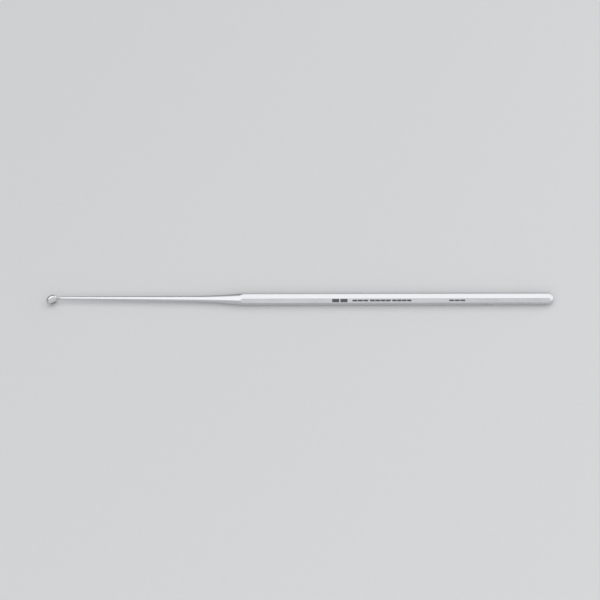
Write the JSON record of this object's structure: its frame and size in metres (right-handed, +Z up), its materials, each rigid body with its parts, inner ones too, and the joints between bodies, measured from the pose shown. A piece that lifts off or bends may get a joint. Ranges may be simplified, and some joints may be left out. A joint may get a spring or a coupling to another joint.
{
  "type": "ear curette",
  "caption": "One-piece steel ear curette: an octagonal grip, a long concave flare, a thin tapered shank and a small tilted ring with a bevelled rim.",
  "frame": {"origin": "on the flat of the grip that the curette rests on, under the middle of the grip", "axes": "+X along the grip towards the butt, so the ring is towards -X; +Z up out of the resting flat; +Y away from the side that the neck bends to"},
  "size_m": [0.1647, 0.0038, 0.0042],
  "materials": {
    "satin_steel": "fine satin polish"
  },
  "bodies": {
    "root": {"ear_curette": "satin_steel"}
  },
  "joints": []
}
